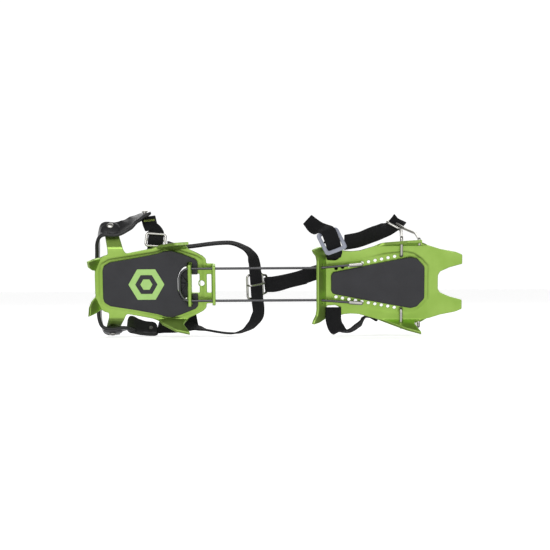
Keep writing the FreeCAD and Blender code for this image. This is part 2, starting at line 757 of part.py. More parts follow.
os.makedirs("parts", exist_ok=True)
for piece in pieces:
    piece.Shape.exportStep(os.path.join("parts", piece.Label + ".step"))
    print(piece.Label, len(piece.Shape.Solids), round(piece.Shape.Volume, 1))
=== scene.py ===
import json
import math

import bpy
import numpy as np
from mathutils import Matrix, Vector
from mathutils.geometry import delaunay_2d_cdt


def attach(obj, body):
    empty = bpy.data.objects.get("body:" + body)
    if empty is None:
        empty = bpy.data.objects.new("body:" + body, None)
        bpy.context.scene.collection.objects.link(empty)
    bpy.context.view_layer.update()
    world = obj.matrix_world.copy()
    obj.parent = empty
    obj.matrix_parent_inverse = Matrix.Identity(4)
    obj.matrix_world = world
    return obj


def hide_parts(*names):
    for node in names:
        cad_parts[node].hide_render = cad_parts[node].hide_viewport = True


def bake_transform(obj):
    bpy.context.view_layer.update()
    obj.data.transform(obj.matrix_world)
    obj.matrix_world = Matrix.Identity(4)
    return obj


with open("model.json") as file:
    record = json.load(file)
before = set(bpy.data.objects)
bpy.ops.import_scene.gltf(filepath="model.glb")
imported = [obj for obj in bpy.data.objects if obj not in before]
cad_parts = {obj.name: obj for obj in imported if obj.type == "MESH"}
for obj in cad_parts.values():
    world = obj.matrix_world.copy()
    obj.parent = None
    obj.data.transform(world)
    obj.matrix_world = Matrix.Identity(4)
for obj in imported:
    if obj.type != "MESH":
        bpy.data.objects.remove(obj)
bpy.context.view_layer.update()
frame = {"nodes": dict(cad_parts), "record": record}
nodes = frame["nodes"]

# The crampon's own axes, in millimetres: x to the toe, y to the wearer's left, z up to the boot.
# z = 0 is the face the boot stands on. They are read from the mount on that face.
MM = 0.001
HEEL_FACE_X = -140.0
mount = next(m for m in frame["record"]["mounts"] if m["name"] == "heel_boot_face")
UP = Vector(mount["axis"]).normalized()
AHEAD = Vector((1, 0, 0))
LEFT = UP.cross(AHEAD)
ORIGIN = Vector(mount["pos_m"]) - AHEAD * (HEEL_FACE_X * MM)
TO_ROW = Matrix.Translation(ORIGIN) @ Matrix((AHEAD, LEFT, UP)).transposed().to_4x4() @ Matrix.Scale(MM, 4)
FROM_ROW = TO_ROW.inverted()
SIDES = {"left": 1, "right": -1}


def local_box(node):
    """A CAD node's lowest and highest corners in the crampon's own axes."""
    places = [FROM_ROW @ v.co for v in nodes[node].data.vertices]
    return (
        Vector([min(p[i] for p in places) for i in range(3)]),
        Vector([max(p[i] for p in places) for i in range(3)]),
    )


# ------------------------------------------------------------------------------- materials


class Recipe:
    """A short way to wire the nodes of a material, or of a world."""

    def __init__(self, name, world=None):
        self.material = world or bpy.data.materials.new(name)
        self.material.use_nodes = True
        self.tree = self.material.node_tree
        self.shader = self.tree.nodes["Background" if world else "Principled BSDF"]

    def node(self, kind, inputs=None, **settings):
        made = self.tree.nodes.new("ShaderNode" + kind)
        for key, value in settings.items():
            setattr(made, key, value)
        for key, value in (inputs or {}).items():
            self.feed(made.inputs[key], value)
        return made

    def feed(self, socket, value):
        if isinstance(value, bpy.types.NodeSocket):
            self.tree.links.new(value, socket)
        else:
            socket.default_value = value

    def set(self, **values):
        for key, value in values.items():
            self.feed(self.shader.inputs[key.replace("_", " ")], value)
        return self

    def place(self, scale):
        """Object coordinates, in units of 1/scale metres."""
        coordinates = self.node("TexCoord")
        return self.node(
            "Mapping", {"Vector": coordinates.outputs["Object"], "Scale": (scale,) * 3}
        ).outputs[0]

    def noise(self, scale, detail=3.0, rough=0.5, vector=None):
        inputs = {"Scale": scale, "Detail": detail, "Roughness": rough}
        inputs["Vector"] = vector or self.place(1.0)
        return self.node("TexNoise", inputs).outputs["Fac"]

    def ramp(self, value, stops):
        made = self.node("ValToRGB", {"Fac": value})
        elements = made.color_ramp.elements
        while len(elements) < len(stops):
            elements.new(1.0)
        for element, (position, colour) in zip(elements, stops):
            element.position = position
            element.color = colour
        return made.outputs["Color"]

    def mix(self, amount, a, b):
        made = self.node("Mix", {0: amount}, data_type="RGBA")
        self.feed(made.inputs[6], a)
        self.feed(made.inputs[7], b)
        return made.outputs[2]

    def math(self, operation, a, b=0.0, c=0.0):
        return self.node("Math", {0: a, 1: b, 2: c}, operation=operation).outputs[0]

    def range(self, value, low, high, out_low, out_high):
        inputs = {"Value": value, 1: low, 2: high, 3: out_low, 4: out_high}
        return self.node("MapRange", inputs).outputs[0]

    def bump(self, height, strength, distance):
        inputs = {"Height": height, "Strength": strength, "Distance": distance}
        self.set(Normal=self.node("Bump", inputs).outputs[0])
        return self


def grey(value, blue=0.0):
    return (value, value, value + blue, 1.0)


def anodised_green():
    """Dyed aluminium sheet: fine blasted grain, slow colour drift and paler edges, partly wear and partly a
    painted edge highlight.
    """
    r = Recipe("anodised_green")
    drift = r.noise(38.0, 2.0)
    colour = r.ramp(drift, [(0.35, (0.36, 0.58, 0.105, 1)), (0.65, (0.43, 0.66, 0.14, 1))])
    pointiness = r.node("NewGeometry").outputs["Pointiness"]
    # Paler, patchy colour on sharp edges: partly real edge wear, partly a painted highlight where the edges
    # catch light.
    edge = r.range(pointiness, 0.52, 0.60, 0.0, 0.55)
    wear_and_edge_highlight = r.math("MULTIPLY", edge, r.range(r.noise(420.0, 3.0), 0.4, 0.62, 0.35, 1.0))
    colour = r.mix(wear_and_edge_highlight, colour, (0.62, 0.80, 0.38, 1))
    scuffs = r.range(r.noise(900.0, 4.0, 0.65), 0.35, 0.7, 0.30, 0.42)
    r.set(Base_Color=colour, Roughness=scuffs, Metallic=0.86)
    return r.bump(r.noise(2600.0, 2.0), 0.12, 0.0002).material


def moulded_plastic(name, base, rough, grain):
    """Moulded black plastic with a spark-eroded grain."""
    r = Recipe(name)
    tone = r.ramp(r.noise(60.0, 2.0), [(0.3, base), (0.7, tuple(c * 1.25 for c in base[:3]) + (1,))])
    r.set(Base_Color=tone, Roughness=r.range(r.noise(700.0, 3.0), 0.3, 0.7, rough - 0.06, rough + 0.06))
    r.set(Specular_IOR_Level=0.5)
    return r.bump(r.noise(2200.0, 2.0), grain, 0.0003).material


def metal(name, base, rough, streak=0.05):
    """Drawn wire or polished steel, with slight lengthwise streaks."""
    r = Recipe(name)
    tone = r.ramp(r.noise(150.0, 3.0), [(0.3, base), (0.7, tuple(c * 1.12 for c in base[:3]) + (1,))])
    r.set(Base_Color=tone, Metallic=1.0)
    r.set(Roughness=r.range(r.noise(1200.0, 4.0), 0.3, 0.7, rough - streak, rough + streak))
    return r.bump(r.noise(1800.0, 2.0), 0.05, 0.0001).material


def badge_paint():
    r = Recipe("badge_paint")
    tone = r.ramp(r.noise(120.0), [(0.3, (0.36, 0.60, 0.17, 1)), (0.7, (0.40, 0.65, 0.20, 1))])
    r.set(Base_Color=tone, Roughness=0.5)
    return r.bump(r.noise(2400.0, 2.0), 0.08, 0.0002).material


def nylon_webbing(name, base, sheen):
    """Flat nylon webbing: ribs across it and a herringbone along it, with painted shade in the weave's
    hollows, a painted highlight on its ribs and a painted highlight along both selvedges.
    """
    r = Recipe(name)
    weave = r.node("Attribute", attribute_name="weave").outputs["Vector"]
    parts = r.node("SeparateXYZ", {0: weave}).outputs
    along, across = parts[0], parts[1]
    slant = r.math("PINGPONG", r.math("ADD", across, 20.0), 1.25)
    rib = r.math("SINE", r.math("MULTIPLY", r.math("ADD", along, slant), 2 * math.pi / 1.15))
    cord = r.math("SINE", r.math("MULTIPLY", across, 2 * math.pi / 1.25))
    rim = r.range(r.math("ABSOLUTE", across), 5.9, 6.3, 0.0, 1.0)
    relief = r.math("MULTIPLY_ADD", cord, 0.35, rib)
    fuzz = r.noise(2600.0, 3.0, 0.6)
    height = r.math("ADD", relief, r.math("MULTIPLY", fuzz, 0.6))
    # Colour follows the weave's relief: painted shade in its hollows, painted highlight on its ribs.
    relief_light_and_shade = r.range(relief, -1.2, 1.2, 0.0, 1.0)
    weave_hollow_shade = tuple(c * 0.55 for c in base[:3]) + (1,)
    light = tuple(c * 1.7 for c in base[:3]) + (1,)
    tone = r.mix(relief_light_and_shade, weave_hollow_shade, light)
    # Lighter along both selvedges: a painted highlight on the strap's rounded edges.
    tone = r.mix(r.math("MULTIPLY", rim, 0.35), tone, light)
    r.set(Base_Color=tone, Roughness=r.range(fuzz, 0.3, 0.7, 0.62, 0.82))
    r.set(Sheen_Weight=sheen, Sheen_Roughness=0.5, Specular_IOR_Level=0.2)
    return r.bump(height, 0.55, 0.0004).material


def thread(name, base):
    r = Recipe(name)
    tone = r.ramp(r.noise(3000.0, 2.0), [(0.3, base), (0.7, tuple(c * 1.4 for c in base[:3]) + (1,))])
    r.set(Base_Color=tone, Roughness=0.6, Sheen_Weight=0.2)
    return r.bump(r.noise(5200.0, 1.0), 0.3, 0.0002).material


MATERIALS = {
    "green_sheet": anodised_green(),
    "black_plate": moulded_plastic("plate_plastic", grey(0.021, 0.004), 0.5, 0.14),
    "badge": badge_paint(),
    "spring_wire": metal("spring_wire", grey(0.13, 0.006), 0.30),
    "bright_steel": metal("bright_steel", (0.60, 0.59, 0.55, 1), 0.24),
    "black_webbing": nylon_webbing("black_webbing", grey(0.0075, 0.001), 0.03),
    "black_band": moulded_plastic("cradle_rubber", grey(0.014, 0.001), 0.33, 0.05),
    "grey_buckle": moulded_plastic("buckle_coating", (0.27, 0.285, 0.345, 1), 0.34, 0.05),
}
GREEN_THREAD = thread("green_thread", (0.33, 0.42, 0.07, 1))
BLACK_THREAD = thread("black_thread", grey(0.02))
for row in frame["record"]["subparts"]:
    carried = nodes[row["node"]].data
    carried.materials.clear()
    carried.materials.append(MATERIALS[row["material_slot"]])
    carried.polygons.foreach_set("use_smooth", [True] * len(carried.polygons))
    carried.set_sharp_from_angle(angle=math.radians(32))


# ------------------------------------------------------------------------------ mesh pieces


class Shell:
    """Vertices and faces in the crampon's own axes, collected until they become one piece."""

    def __init__(self):
        self.places = []
        self.weave = []
        self.faces = []

    def add(self, places, faces, weave=None):
        start = len(self.places)
        self.places += [Vector(p) for p in places]
        self.weave += weave or [(0.0, 0.0, 0.0)] * len(places)
        self.faces += [[start + i for i in face] for face in faces]

    def grid(self, rings, weave=None, caps=True):
        """Skin closed rings of equal size, with a cap at each end."""
        count = len(rings[0])
        faces = []
        for i in range(len(rings) - 1):
            for j in range(count):
                k = (j + 1) % count
                faces.append([i * count + j, i * count + k, (i + 1) * count + k, (i + 1) * count + j])
        if caps:
            last = (len(rings) - 1) * count
            faces.append(list(range(count))[::-1])
            faces.append([last + j for j in range(count)])
        places = [p for ring in rings for p in ring]
        self.add(places, faces, [w for ring in weave for w in ring] if weave else None)

    def piece(self, name, slot, body=None, stands_for=(), material=None, angle=38):
        mesh = bpy.data.meshes.new(name)
        mesh.from_pydata([TO_ROW @ p for p in self.places], [], self.faces)
        mesh.validate()
        attribute = mesh.attributes.new("weave", "FLOAT_VECTOR", "POINT")
        attribute.data.foreach_set("vector", [c for w in self.weave for c in w])
        mesh.polygons.foreach_set("use_smooth", [True] * len(mesh.polygons))
        mesh.set_sharp_from_angle(angle=math.radians(angle))
        mesh.materials.append(material or MATERIALS[slot])
        made = bpy.data.objects.new(name, mesh)
        bpy.context.scene.collection.objects.link(made)
        if body:
            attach(made, body)
        if stands_for:
            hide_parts(*stands_for)
        return made


# ------------------------------------------------------------------------------ flat blanks


def wound(loop, anticlockwise):
    area = sum(a[0] * b[1] - b[0] * a[1] for a, b in zip(loop, loop[1:] + loop[:1]))
    return loop if (area > 0) == anticlockwise else loop[::-1]


def softened(points, radius, steps=5):
    """A closed outline with its corners rounded; a third number is a corner's own radius."""
    loop = []
    count = len(points)
    for i, point in enumerate(points):
        corner = Vector(point[:2])
        back = Vector(points[i - 1][:2]) - corner
        ahead = Vector(points[(i + 1) % count][:2]) - corner
        turn = math.pi - back.angle(ahead)
        wanted = point[2] if len(point) > 2 else radius
        if turn < 0.06 or wanted == 0:
            loop.append(tuple(corner))
            continue
        reach = min(wanted * math.tan(turn / 2), 0.46 * min(back.length, ahead.length))
        first, last = corner + back.normalized() * reach, corner + ahead.normalized() * reach
        for k in range(steps + 1):
            f = k / steps
            bow = first * (1 - f) ** 2 + corner * (2 * f * (1 - f)) + last * f**2
            loop.append(tuple(bow))
    return loop


def stepped(loop, pitch):
    """The same outline with its long edges divided."""
    result = []
    for a, b in zip(loop, loop[1:] + loop[:1]):
        a, b = Vector(a), Vector(b)
        parts = max(1, math.ceil((b - a).length / pitch))
        result += [tuple(a.lerp(b, k / parts)) for k in range(parts)]
    return result


def drawn_in(loop, depth):
    """The outline moved to its left by depth, mitred at each point."""
    result = []
    for i, point in enumerate(loop):
        before = (Vector(point) - Vector(loop[i - 1])).normalized()
        after = (Vector(loop[(i + 1) % len(loop)]) - Vector(point)).normalized()
        mitre = Vector((-before.y - after.y, before.x + after.x))
        scale = max(mitre.length_squared / 2, 0.5)
        result.append(tuple(Vector(point) + mitre * (depth / scale)))
    return result


def inside(loop, places):
    """Which of the places lie inside the loop."""
    x, y = places[:, 0], places[:, 1]
    odd = np.zeros(len(places), bool)
    for (x1, y1), (x2, y2) in zip(loop, loop[1:] + loop[:1]):
        if y1 != y2:
            odd ^= ((y1 > y) != (y2 > y)) & (x < (x2 - x1) * (y - y1) / (y2 - y1) + x1)
    return odd


def lattice(loops, pitch):
    """Staggered points inside the first loop, outside the others and clear of them all."""
    rim = np.array([p for loop in loops for p in loop])
    low, high = rim.min(0), rim.max(0)
    row_step = pitch * math.sqrt(3) / 2
    rows = np.arange(low[1], high[1], row_step)
    points = np.array([
        (x + pitch / 2 * (i % 2), y) for i, y in enumerate(rows) for x in np.arange(low[0], high[0], pitch)
    ])
    keep = inside(loops[0], points)
    for hole in loops[1:]:
        keep &= ~inside(hole, points)
    points = points[keep]
    gap = np.array([np.min(((rim - p) ** 2).sum(1)) for p in points])
    return [tuple(p) for p in points[gap > (0.62 * pitch) ** 2]]


EDGE_STEPS = 3


def slab(shell, outline, holes, thickness, edge, pitch, place):
    """A flat blank of some thickness with rounded edges; place(u, v, h) puts each point."""
    loops = [wound(outline, True)] + [wound(hole, False) for hole in holes]
    loops = [stepped(loop, pitch) for loop in loops]
    borders = [drawn_in(loop, edge) for loop in loops]
    flat = [p for border in borders for p in border]
    edges = []
    start = 0
    for border in borders:
        count = len(border)
        edges += [(start + i, start + (i + 1) % count) for i in range(count)]
        start += count
    flat += lattice(borders, pitch)
    points, _, triangles, origins, _, _ = delaunay_2d_cdt([Vector(p) for p in flat], edges, [], 0, 1e-5)
    middles = np.array([sum((points[i] for i in t), Vector((0, 0))) / 3 for t in triangles])
    keep = inside(borders[0], middles)
    for border in borders[1:]:
        keep &= ~inside(border, middles)
    triangles = [list(t) for t, kept in zip(triangles, keep) if kept]
    found = {}
    for index, sources in enumerate(origins):
        for source in sources:
            found[source] = index
    half, count = thickness / 2, len(points)
    places = [place(p.x, p.y, half) for p in points] + [place(p.x, p.y, -half) for p in points]
    faces = triangles + [[i + count for i in reversed(t)] for t in triangles]
    turns = [math.pi / 2 * k / EDGE_STEPS for k in range(1, EDGE_STEPS + 1)]
    profile = [(edge * (1 - math.sin(a)), half - edge * (1 - math.cos(a))) for a in turns]
    profile += [(depth, -h) for depth, h in reversed(profile)]
    start = 0
    for loop, border in zip(loops, borders):
        size = len(loop)
        rings = [[found[start + i] for i in range(size)]]
        for depth, h in profile:
            first = len(places)
            places += [place(u, v, h) for u, v in drawn_in(loop, depth)]
            rings.append(list(range(first, first + size)))
        rings.append([i + count for i in rings[0]])
        for upper, lower in zip(rings, rings[1:]):
            for i in range(size):
                k = (i + 1) % size
                faces.append([upper[k], upper[i], lower[i], lower[k]])
        start += size
    shell.add(places, faces)


class Fold:
    """A bend in a blank: along a line, turned down by an angle on the line's outer side."""

    def __init__(self, point, outward, degrees, where, radius=3.0):
        self.point = Vector(point)
        self.outward = Vector(outward).normalized()
        self.angle = math.radians(abs(degrees))
        self.sign = 1 if degrees > 0 else -1
        self.reach = radius * math.tan(self.angle / 2)
        self.radius = radius
        self.where = where

    def applies(self, u, v):
        return self.where(u, v) and (Vector((u, v)) - self.point).dot(self.outward) > -self.reach

    def place(self, u, v, h):
        """The bent place of a point of the blank, as flat x, y and depth below the sheet."""
        gone = (Vector((u, v)) - self.point).dot(self.outward)
        base = Vector((u, v)) - self.outward * gone
        if gone < self.reach:
            turn = self.angle * (gone + self.reach) / (2 * self.reach)
            advance = -self.reach + self.radius * math.sin(turn)
            drop = self.radius * (1 - math.cos(turn))
        else:
            turn = self.angle
            advance, drop = gone * math.cos(turn), gone * math.sin(turn)
        h *= self.sign
        flat = base + self.outward * (advance + h * math.sin(turn))
        return flat.x, flat.y, self.sign * (h * math.cos(turn) - drop)


SHEET = 3.0


def bent(folds, relief=lambda u, v: 0.0):
    """The placing function of a folded sheet whose upper face is z = 0."""

    def place(u, v, h):
        for fold in folds:
            if fold.applies(u, v):
                x, y, z = fold.place(u, v, h)
                return (x, y, z - SHEET / 2)
        return (u, v, h - SHEET / 2 + relief(u, v))

    return place


def both_sides(half):
    """Close an outline from one half of it by mirroring the half across y = 0."""
    return list(half) + [(p[0], -p[1], *p[2:]) for p in reversed(half)]


def circle(x, y, radius, count=20):
    turn = 2 * math.pi / count
    return [(x + radius * math.cos(turn * i), y + radius * math.sin(turn * i)) for i in range(count)]


def distance_in(loop, u, v):
    """How far a place lies inside an outline of straight edges; negative outside."""
    nearest = 1e9
    place = Vector((u, v))
    for a, b in zip(loop, loop[1:] + loop[:1]):
        a, b = Vector(a[:2]), Vector(b[:2])
        along = b - a
        f = min(1, max(0, (place - a).dot(along) / along.length_squared))
        nearest = min(nearest, (place - a - along * f).length)
    corners = [tuple(p[:2]) for p in loop]
    return nearest if inside(corners, np.array([[u, v]]))[0] else -nearest


def pressed(loop, depth, ramp):
    """A shallow panel pressed up inside an outline, with a soft step round it."""

    def relief(u, v):
        f = min(1, max(0, distance_in(loop, u, v) / ramp + 0.5))
        return depth * f * f * (3 - 2 * f)

    return relief


# --------------------------------------------------------------------------- rear half

POINT_LEAN = 69.0
POST_LEAN = 55.0
POST_Y = 35.5
HEEL_BEND_Y = 37.0
HEEL_CORNER = (Vector((-180.8, 13.5)), Vector((-175.0, 26.7)))
NECK_FOLD_X = -60.9
REAR_TAB_X = -85.1
ROD_Y, ROD_DEPTH = 16.5, 6.5

CORNER_ALONG = (HEEL_CORNER[1] - HEEL_CORNER[0]).normalized()
CORNER_OUT = Vector((-CORNER_ALONG.y, CORNER_ALONG.x))


def corner_point(along, out, radius=1.2):
    """A place on a rear point: along its bend and out from it."""
    place = HEEL_CORNER[0] + CORNER_ALONG * along + CORNER_OUT * out
    return (place.x, place.y, radius)


heel_outline = both_sides([
    (NECK_FOLD_X + 12.5, 20.3, 2.0),
    (-68.5, 20.3, 1.5),
    (-69.0, 25.0, 3.0),
    (-72.0, 28.1, 3.0),
    (-78.0, 31.4, 6.0),
    (-86.0, 35.2, 3.0),
    (-89.5, 40.0, 2.0),
    (-92.0, 46.5, 4.0),
    (-84.5, 62.5, 0.7),
    (-99.0, 57.5, 8.0),
    (-113.0, 45.5, 5.0),
    (-117.0, 38.4, 4.0),
    (-125.0, 35.6, 10.0),
    (-138.0, 33.0, 10.0),
    (-149.0, 30.9, 3.0),
    (-151.4, 35.5, 2.0),
    (-158.0, 60.5, 4.0),
    (-161.0, 65.5, 3.0),
    (-168.5, 65.5, 3.0),
    (-171.5, 60.5, 4.0),
    (-167.1, 35.5, 2.0),
    (-166.8, 29.9, 2.0),
    (-171.0, 28.6, 3.0),
    corner_point(14.2, 0.0, 2.0),
    corner_point(13.5, 13.0, 5.0),
    corner_point(11.5, 26.0, 0.6),
    corner_point(4.5, 17.0, 6.0),
    corner_point(1.5, 8.0, 6.0),
    corner_point(0.4, -0.6, 2.0),
    (-180.2, 9.0, 20.0),
])
heel_holes = [
    softened(both_sides([(-83.2, -9.8), (-75.5, -9.8)]), 1.0),
    softened(both_sides([(-68.2, -9.6), (-63.4, -9.6)]), 1.0),
    softened(both_sides([(-88.6, -18.4), (-91.5, -17.4), (-95.0, -12.4), (-97.4, -6.0)]), 3.0),
    circle(-73.4, 0, 2.9),
]
heel_plate_half = [
    (-77.2, 22.6, 3.0), (-80.0, 25.6, 2.0), (-95.0, 31.7, 6.0), (-103.0, 34.3, 4.0),
    (-110.0, 33.7, 4.0), (-117.5, 30.9, 6.0), (-140.0, 26.5, 8.0), (-165.0, 22.4, 4.0),
    (-171.0, 18.6, 4.0), (-172.2, 14.0, 5.0),
]


def heel_folds():
    folds = [
        Fold((NECK_FOLD_X, 0), (1, 0), 90, lambda u, v: abs(v) < 21),
    ]
    for side in SIDES.values():
        def near(u, v, side=side):
            return v * side > 0 and -124 < u < -76

        def post(u, v, side=side):
            return v * side > 0 and -175 < u < -140

        def rear(u, v, side=side):
            along = (Vector((u, v * side)) - HEEL_CORNER[0]).dot(CORNER_ALONG)
            return v * side > 0 and u < -165 and -3 < along < 16.2

        outward = Vector((CORNER_OUT.x, CORNER_OUT.y * side))
        corner = Vector((HEEL_CORNER[0].x, HEEL_CORNER[0].y * side))
        folds += [
            Fold((0, HEEL_BEND_Y * side), (0, side), POINT_LEAN, near),
            Fold((0, POST_Y * side), (0, side), -POST_LEAN, post),
            Fold(corner, outward, POINT_LEAN, rear),
        ]
    return folds


def rod_tab(shell, x, half_width, foot):
    """An upright tab on a short foot that stays flat under the plate."""
    fold = Fold((x, 0), (1, 0), 90, lambda u, v: True, radius=2.2)
    outline = [
        (x - foot, half_width - 4, 2.0), (x - 3, half_width, 2.0), (x + 12.5, half_width, 2.0),
    ]
    holes = [circle(x + ROD_DEPTH, side * ROD_Y, 1.45) for side in SIDES.values()]
    slab(shell, softened(both_sides(outline), 1.0), holes, SHEET, 0.6, 1.8, bent([fold]))


def make_heel_frame():
    relief = pressed([p[:2] for p in both_sides([
        (-71.0, 24.0), (-78.0, 28.6), (-95.0, 34.6), (-110.0, 35.6), (-119.0, 33.0),
        (-140.0, 29.4), (-166.0, 25.4), (-174.0, 20.5), (-176.0, 12.0),
    ])], 1.0, 2.2)

    def blended(u, v):
        return relief(u, v) * min(1.0, max(0.0, (-70.0 - u) / 4.0))

    shell = Shell()
    holes = heel_holes + [
        circle(NECK_FOLD_X + ROD_DEPTH, side * ROD_Y, 1.45) for side in SIDES.values()
    ]
    slab(shell, softened(heel_outline, 1.2), holes, SHEET, 0.65, 1.2, bent(heel_folds(), blended))
    shell.piece("heel_frame_sheet", "green_sheet", "heel", ["heel_frame"])
    tab = Shell()
    rod_tab(tab, REAR_TAB_X, 21.5, 2.6)
    tab.piece("heel_rod_tab", "green_sheet", "heel")


PLATE_FACE = -5.5


def plate_level(top, bottom):
    """The placing function and thickness of a level plate between two heights."""
    middle = (top + bottom) / 2
    return top - bottom, lambda u, v, h: (u, v, middle + h)


def bar(shell, start, end, width, top, bottom):
    """A straight rib with rounded edges."""
    start, end = Vector(start), Vector(end)
    side = (end - start).orthogonal().normalized() * (width / 2)
    outline = [tuple(p) for p in (start - side, end - side, end + side, start + side)]
    thickness, place = plate_level(top, bottom)
    slab(shell, softened(outline, 0.3), [], thickness, 0.25, 2.0, place)


def make_heel_plate():
    half = [(-77.2, 9.8, 1.0)] + heel_plate_half
    rim = both_sides(half)
    notch = both_sides([
        (-83.0, -9.8, 0.5), (-83.0, -22.3, 0.8), (-87.2, -22.3, 0.8),
        (-87.3, -18.4, 0.5), (-91.5, -17.2, 4.0), (-95.2, -12.2, 5.0), (-97.2, -6.0, 6.0),
    ])
    outline = softened(rim + notch, 2.0)
    shell = Shell()
    thickness, place = plate_level(-2.3, PLATE_FACE)
    slab(shell, outline, [], thickness, 0.8, 2.0, place)
    floor = both_sides([(-86.9, -12.6), (-90.3, -15.6), (-94.6, -12.0), (-96.9, -6.0)])
    thickness, place = plate_level(-1.4, -2.8)
    slab(shell, softened(floor, 2.0), [], thickness, 0.4, 1.6, place)
    hub = (-87.2, 0.0)
    for y in (0.0, 9.5, -9.5):
        bar(shell, hub, (-95.6 + abs(y) * 0.12, y), 1.1, -2.4, -4.9)
    shell.piece("heel_plate", "black_plate", "heel", ["heel_anti_ball_plate"])


def make_badge():
    low, high = local_box("heel_badge")
    x, outer = (low.x + high.x) / 2, (high.x - low.x) / 2
    shell = Shell()
    thickness, place = plate_level(PLATE_FACE + 0.3, low.z)
    slab(
        shell, softened(circle(x, 0, outer, 6), 1.2), [softened(circle(x, 0, outer * 0.62, 6), 1.0)],
        thickness, 0.15, 1.5, place,
    )
    slab(shell, softened(circle(x, 0, outer * 0.34, 6), 0.8), [], thickness, 0.15, 1.5, place)
    shell.piece("heel_badge_ring", "badge", "heel", ["heel_badge"])


# --------------------------------------------------------------------------- front half

WALL_X = 50.0
WALL_LEAN = 31.0
SIDE_Y = 39.0
SIDE_POINT_LEAN = 72.0
front_half = [
    (162.9, 7.0, 4.0), (165.0, 10.8, 3.0), (173.9, 14.9, 4.0), (187.0, 18.6, 0.8),
    (187.0, 27.8, 1.5), (180.8, 30.5, 6.0), (165.0, 33.6, 12.0), (152.0, 37.8, 8.0),
    (146.0, 41.0, 4.0), (139.6, 42.8, 2.5), (139.5, 48.0, 4.0), (145.5, 64.6, 0.6),
    (131.0, 57.0, 10.0), (119.0, 48.4, 8.0), (109.0, 41.0, 8.0), (98.7, 36.8, 14.0),
    (84.0, 32.5, 14.0), (75.5, 31.9, 8.0), (69.0, 32.5, 8.0), (58.0, 35.3, 8.0),
    (50.0, 37.0, 4.0), (37.0, 38.5, 6.0), (25.0, 38.0, 1.5), (28.0, 34.0, 3.0),
    (33.0, 30.0, 4.0), (34.8, 25.0, 5.0),
]
strap_slot = [(51.5, 23.5, 1.5), (60.0, 23.0, 2.5), (64.5, 25.0, 2.0), (62.0, 29.5, 2.0), (52.5, 31.0, 2.0)]
HOLE_SLANT = math.tan(math.radians(11.1))
HOLE_ROW = (61.0, 14.7)
HOLE_PITCH = 6.5
HOLE_COUNT = 11


def make_front_frame():
    folds = [Fold((WALL_X, 0), (-1, 0), 90 - WALL_LEAN, lambda u, v: u < 56)]
    for side in SIDES.values():
        def flank(u, v, side=side):
            return v * side > 0 and u > 88

        folds.append(Fold((0, SIDE_Y * side), (0, side), SIDE_POINT_LEAN, flank))
    panel = both_sides([
        (153.0, 17.0), (147.0, 24.0), (139.0, 29.8), (130.0, 31.6), (110.0, 29.6), (62.0, 19.6),
    ])
    relief = pressed(panel, 1.1, 2.2)

    def faded(u, v):
        return relief(u, v) * min(1.0, max(0.0, (u - 84.0) / 26.0))

    holes = []
    rod_u = WALL_X - ROD_DEPTH / math.cos(math.radians(WALL_LEAN))
    for side in SIDES.values():
        holes.append(softened([(x, side * y, r) for x, y, r in strap_slot], 1.5))
        slot = [(rod_u - 1.7, 15.0), (rod_u + 1.7, 15.0), (rod_u + 1.7, 20.5), (rod_u - 1.7, 20.5)]
        holes.append(softened([(x, side * y) for x, y in slot], 1.5))
        holes.append(circle(126.0, side * (SIDE_Y + 5.5), 2.0, 16))
        for i in range(HOLE_COUNT):
            run = i * HOLE_PITCH
            holes.append(circle(HOLE_ROW[0] + run, side * (HOLE_ROW[1] + run * HOLE_SLANT), 1.7, 16))
    shell = Shell()
    slab(shell, softened(both_sides(front_half), 2.0), holes, SHEET, 0.5, 1.2, bent(folds, faded))
    shell.piece("front_frame_sheet", "green_sheet", "front", ["front_frame"])


def make_front_plate():
    half = [
        (149.3, 16.2, 5.0), (141.8, 24.6, 5.0), (135.5, 26.2, 5.0), (114.5, 22.2, 10.0),
        (58.0, 11.1, 4.0), (56.0, 8.0, 4.0),
    ]
    shell = Shell()
    thickness, place = plate_level(-2.2, PLATE_FACE)
    slab(shell, softened(both_sides(half), 3.0), [], thickness, 0.8, 2.2, place)
    shell.piece("front_plate", "black_plate", "front", ["front_anti_ball_plate"])


# ---------------------------------------------------------------------------------- wires


def rounded_path(points, radius, step=0.9, closed=False):
    """Points along straight runs joined by arcs."""
    corners = [Vector(p) for p in points]
    path = []
    count = len(corners)
    for i, corner in enumerate(corners):
        if not closed and i in (0, count - 1):
            path.append(corner)
            continue
        back = corners[i - 1] - corner
        ahead = corners[(i + 1) % count] - corner
        turn = math.pi - back.angle(ahead)
        reach = min(radius * math.tan(turn / 2), 0.48 * min(back.length, ahead.length))
        bend = reach / math.tan(turn / 2)
        first, last = corner + back.normalized() * reach, corner + ahead.normalized() * reach
        middle = (back.normalized() + ahead.normalized()).normalized()
        centre = corner + middle * (bend / math.cos(turn / 2))
        steps = max(3, math.ceil(bend * turn / step))
        a, b = first - centre, last - centre
        for k in range(steps + 1):
            f = k / steps
            arm = (a * math.sin((1 - f) * turn) + b * math.sin(f * turn)) / math.sin(turn)
            path.append(centre + arm)
    return path


END_BULGE = 0.6


